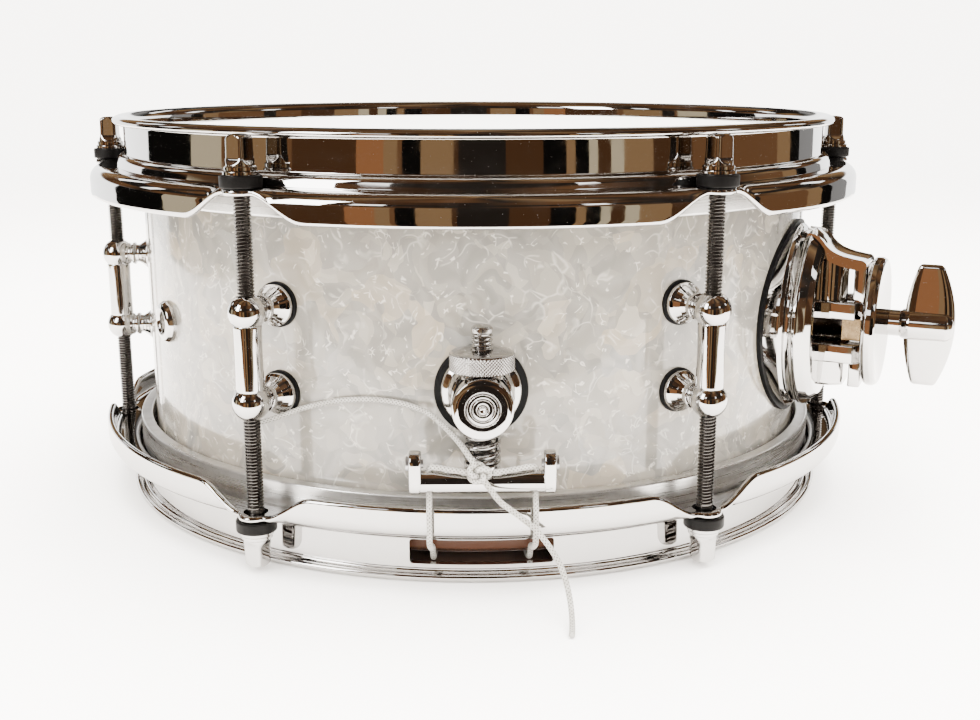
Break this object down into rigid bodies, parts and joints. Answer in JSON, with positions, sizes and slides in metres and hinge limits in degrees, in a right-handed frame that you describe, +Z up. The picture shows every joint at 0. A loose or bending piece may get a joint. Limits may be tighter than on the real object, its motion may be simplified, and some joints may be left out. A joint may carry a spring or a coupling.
{
  "type": "snare drum",
  "caption": "Small side snare drum: pearl-wrapped shell, flanged hoops, tube lugs, snare strainers with wires and cord, and a tom arm bracket on the side.",
  "frame": {"origin": "on the drum's axis in the plane of the lower hoop's rim, which it stands on", "axes": "+Z up along the drum's axis through the batter head, -Y towards the snare butt, +X to its right"},
  "size_m": [0.3164, 0.3319, 0.14],
  "materials": {
    "chrome_hoop": "polished chrome plate on pressed steel",
    "chrome_cast": "polished chrome plate on die castings and turned parts",
    "rod_steel": "bright zinc-nickel thread",
    "screw_steel": "zinc-plated steel, satin",
    "spring_steel": "nickel-plated spring wire",
    "knurled_chrome": "knurled, chrome plated",
    "shell_wood": "maple plies, clear sealed inside",
    "pearl_wrap": "white marine pearl, polished celluloid",
    "head_white": "coated white polyester film",
    "head_clear": "clear thin polyester film",
    "flesh_alloy": "plain rolled aluminium",
    "black_rubber": "matt black rubber",
    "black_nylon": "black nylon, slight sheen",
    "snare_steel": "coiled steel snare wire",
    "white_cord": "braided white nylon cord"
  },
  "bodies": {
    "root": {"shell": "shell_wood", "shell_wrap": "pearl_wrap", "batter_head": "head_white", "batter_flesh_hoop": "flesh_alloy", "batter_hoop": "chrome_hoop", "snare_side_head": "head_clear", "snare_side_flesh_hoop": "flesh_alloy", "snare_side_hoop": "chrome_hoop", "lug_1": "chrome_cast", "lug_2": "chrome_cast", "lug_3": "chrome_cast", "lug_4": "chrome_cast", "lug_5": "chrome_cast", "lug_6": "chrome_cast", "lug_gaskets": "black_rubber", "lug_screws": "screw_steel", "nylon_washers": "black_nylon", "steel_washers": "chrome_cast", "air_vent": "chrome_cast", "butt_gasket": "black_rubber", "butt_post": "chrome_cast", "butt_spring": "spring_steel", "throwoff_gasket": "black_rubber", "throwoff_post": "chrome_cast", "throwoff_spring": "spring_steel", "strainer_screws": "screw_steel", "bracket_gasket": "black_rubber", "bracket_base": "chrome_cast", "bracket_cap": "chrome_cast", "bracket_screws": "screw_steel", "snare_wires": "snare_steel", "snare_end_plates": "snare_steel", "cord_front": "white_cord", "cord_knot": "white_cord", "cord_tail_left": "white_cord", "cord_tail_right": "white_cord", "cord_back": "white_cord"},
    "top_rod_1": {"top_rod_1": "rod_steel"},
    "bottom_rod_1": {"bottom_rod_1": "rod_steel"},
    "top_rod_2": {"top_rod_2": "rod_steel"},
    "bottom_rod_2": {"bottom_rod_2": "rod_steel"},
    "top_rod_3": {"top_rod_3": "rod_steel"},
    "bottom_rod_3": {"bottom_rod_3": "rod_steel"},
    "top_rod_4": {"top_rod_4": "rod_steel"},
    "bottom_rod_4": {"bottom_rod_4": "rod_steel"},
    "top_rod_5": {"top_rod_5": "rod_steel"},
    "bottom_rod_5": {"bottom_rod_5": "rod_steel"},
    "top_rod_6": {"top_rod_6": "rod_steel"},
    "bottom_rod_6": {"bottom_rod_6": "rod_steel"},
    "butt_knob": {"butt_knob": "knurled_chrome"},
    "butt_bar": {"butt_bar": "chrome_cast", "butt_stud": "rod_steel", "butt_bar_screws": "screw_steel"},
    "throwoff_lever": {"throwoff_lever": "chrome_cast"},
    "throwoff_bar": {"throwoff_bar": "chrome_cast", "throwoff_stud": "rod_steel", "throwoff_bar_screws": "screw_steel"},
    "bracket_jaw": {"bracket_jaw": "screw_steel"},
    "bracket_wing": {"bracket_wing_screw": "chrome_cast"}
  },
  "joints": [
    {"name": "top_rod_1_turn", "type": "hinge", "parent": "root", "child": "top_rod_1", "pos_m": [-0.0715, -0.12384, 0.127], "axis": [0, 0, 1], "continuous": true},
    {"name": "top_rod_2_turn", "type": "hinge", "parent": "root", "child": "top_rod_2", "pos_m": [-0.143, 0, 0.127], "axis": [0, 0, 1], "continuous": true},
    {"name": "top_rod_3_turn", "type": "hinge", "parent": "root", "child": "top_rod_3", "pos_m": [-0.0715, 0.12384, 0.127], "axis": [0, 0, 1], "continuous": true},
    {"name": "top_rod_4_turn", "type": "hinge", "parent": "root", "child": "top_rod_4", "pos_m": [0.0715, 0.12384, 0.127], "axis": [0, 0, 1], "continuous": true},
    {"name": "top_rod_5_turn", "type": "hinge", "parent": "root", "child": "top_rod_5", "pos_m": [0.143, 0, 0.127], "axis": [0, 0, 1], "continuous": true},
    {"name": "top_rod_6_turn", "type": "hinge", "parent": "root", "child": "top_rod_6", "pos_m": [0.0715, -0.12384, 0.127], "axis": [0, 0, 1], "continuous": true},
    {"name": "bottom_rod_1_turn", "type": "hinge", "parent": "root", "child": "bottom_rod_1", "pos_m": [-0.0715, -0.12384, 0.013], "axis": [0, 0, 1], "continuous": true},
    {"name": "bottom_rod_2_turn", "type": "hinge", "parent": "root", "child": "bottom_rod_2", "pos_m": [-0.143, 0, 0.013], "axis": [0, 0, 1], "continuous": true},
    {"name": "bottom_rod_3_turn", "type": "hinge", "parent": "root", "child": "bottom_rod_3", "pos_m": [-0.0715, 0.12384, 0.013], "axis": [0, 0, 1], "continuous": true},
    {"name": "bottom_rod_4_turn", "type": "hinge", "parent": "root", "child": "bottom_rod_4", "pos_m": [0.0715, 0.12384, 0.013], "axis": [0, 0, 1], "continuous": true},
    {"name": "bottom_rod_5_turn", "type": "hinge", "parent": "root", "child": "bottom_rod_5", "pos_m": [0.143, 0, 0.013], "axis": [0, 0, 1], "continuous": true},
    {"name": "bottom_rod_6_turn", "type": "hinge", "parent": "root", "child": "bottom_rod_6", "pos_m": [0.0715, -0.12384, 0.013], "axis": [0, 0, 1], "continuous": true},
    {"name": "butt_knob_turn", "type": "hinge", "parent": "root", "child": "butt_knob", "pos_m": [0, -0.1405, 0.073], "axis": [0, 0, 1], "range_deg": [-851, 1134]},
    {"name": "butt_bar_slide", "type": "slide", "parent": "root", "child": "butt_bar", "axis": [0, 0, 1], "range_m": [-0.004, 0.003], "deforming": ["butt_spring", "cord_front", "cord_knot", "cord_tail_left", "cord_tail_right"]},
    {"name": "throwoff_lever_turn", "type": "hinge", "parent": "root", "child": "throwoff_lever", "pos_m": [0, 0.15, 0.0605], "axis": [0, 1, 0], "range_deg": [-0.1, 90.1]},
    {"name": "throwoff_bar_drop", "type": "slide", "parent": "root", "child": "throwoff_bar", "axis": [0, 0, -1], "range_m": [0, 0.004], "deforming": ["throwoff_spring", "cord_back"]},
    {"name": "bracket_wing_turn", "type": "hinge", "parent": "bracket_jaw", "child": "bracket_wing", "pos_m": [0.15774, -0.07693, 0.0692], "axis": [0.8988, -0.4384, 0], "range_deg": [-432.5, 0.5]},
    {"name": "bracket_jaw_slide", "type": "slide", "parent": "root", "child": "bracket_jaw", "axis": [-0.8988, 0.4384, 0], "range_m": [0, 0.0015]}
  ],
  "couplings": [
    {"joint": "butt_knob_turn", "follows": "butt_bar_slide", "rad_per_m": -4947.4},
    {"joint": "throwoff_lever_turn", "follows": "throwoff_bar_drop", "rad_per_m": 392.7},
    {"joint": "bracket_wing_turn", "follows": "bracket_jaw_slide", "rad_per_m": -5026.5}
  ]
}
